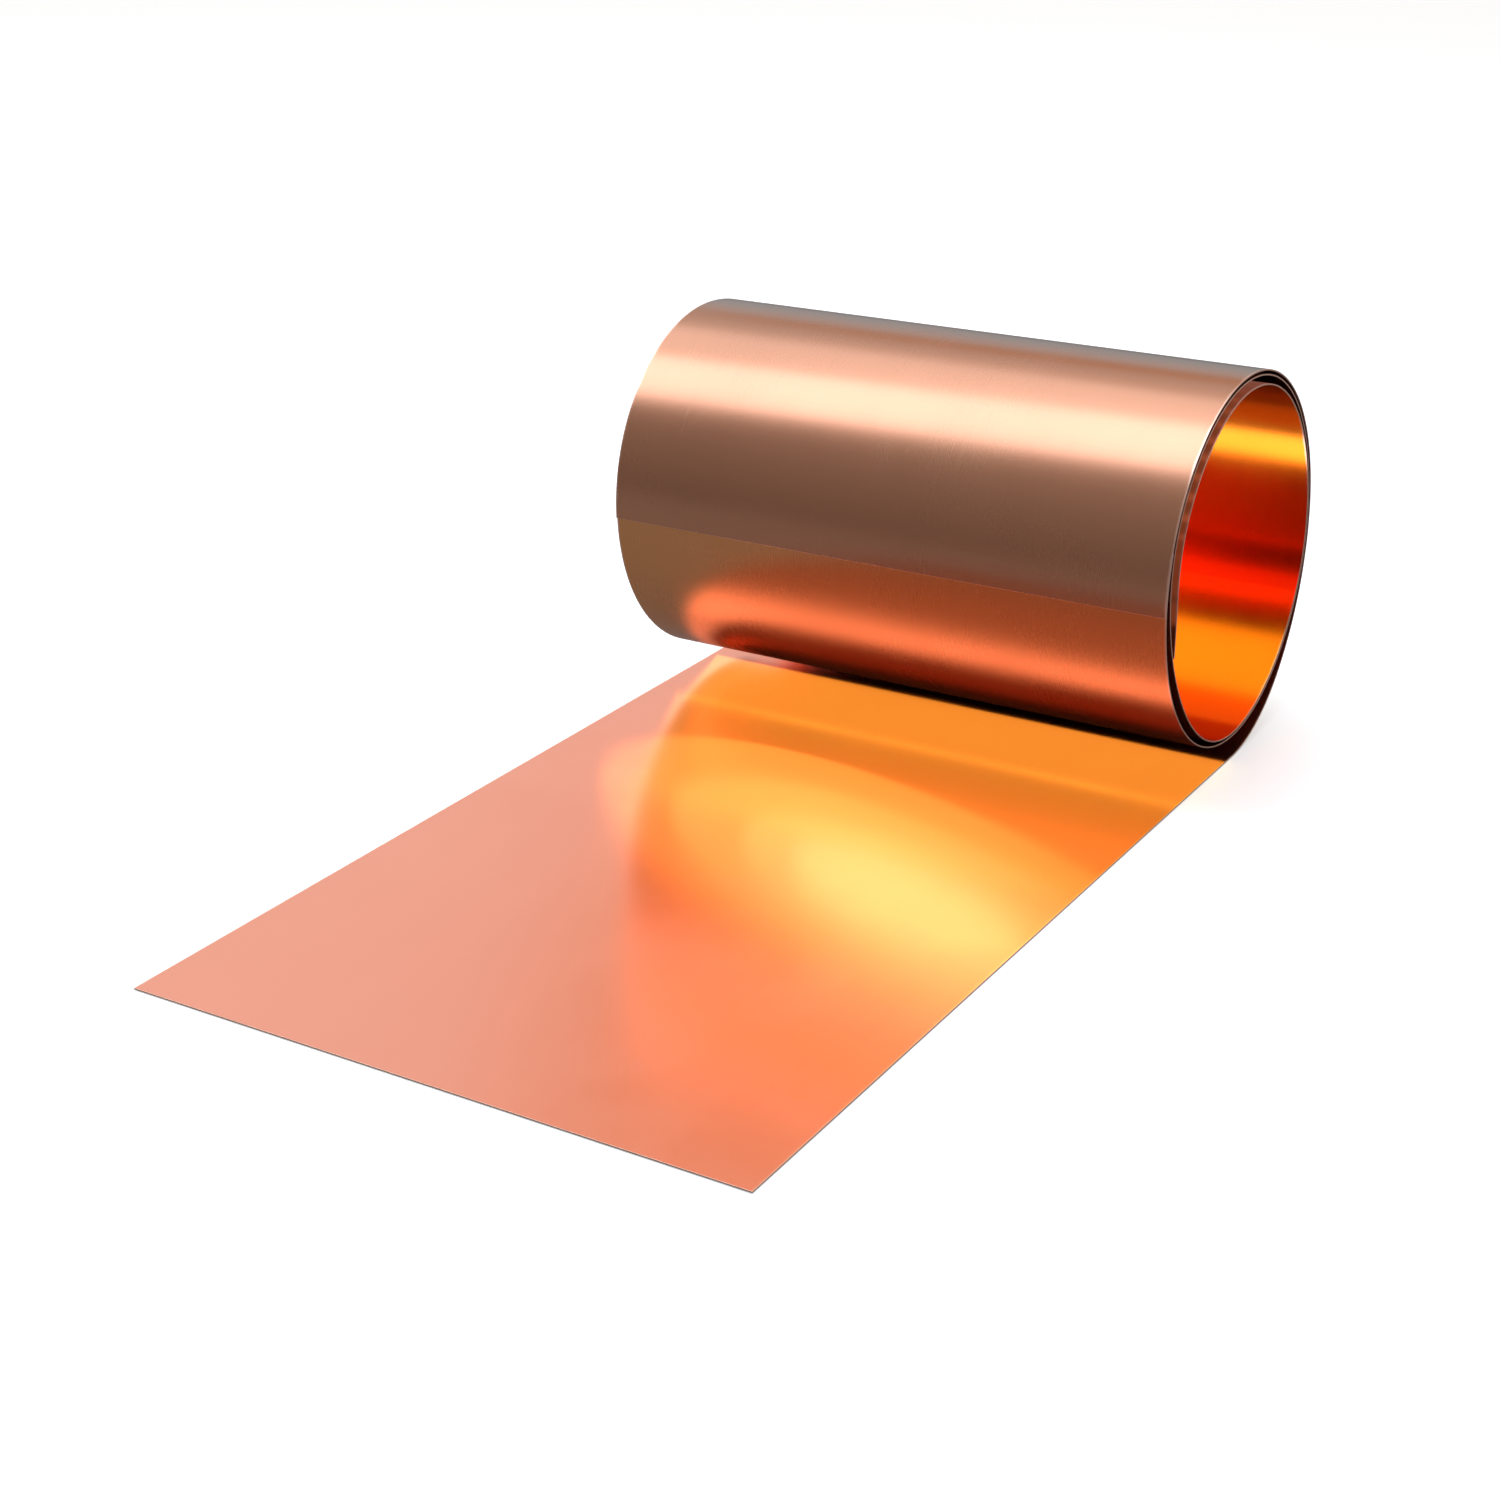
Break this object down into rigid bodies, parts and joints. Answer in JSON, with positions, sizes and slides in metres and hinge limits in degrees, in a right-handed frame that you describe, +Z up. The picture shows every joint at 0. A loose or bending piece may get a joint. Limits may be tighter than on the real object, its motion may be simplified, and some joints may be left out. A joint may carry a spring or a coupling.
{
  "type": "copper foil roll",
  "caption": "Strip of copper foil coiled into a loose open roll, with its outer end run out flat on the floor in front.",
  "frame": {"origin": "centre of the part's footprint, on the floor that the foil lies on", "axes": "+X along the roll's axis, +Y from the flat outer end towards the roll, +Z up"},
  "size_m": [0.2, 0.3644, 0.1312],
  "materials": {
    "copper": "bright rolled copper, semi-gloss"
  },
  "bodies": {
    "root": {"copper_foil": "copper"}
  },
  "joints": []
}
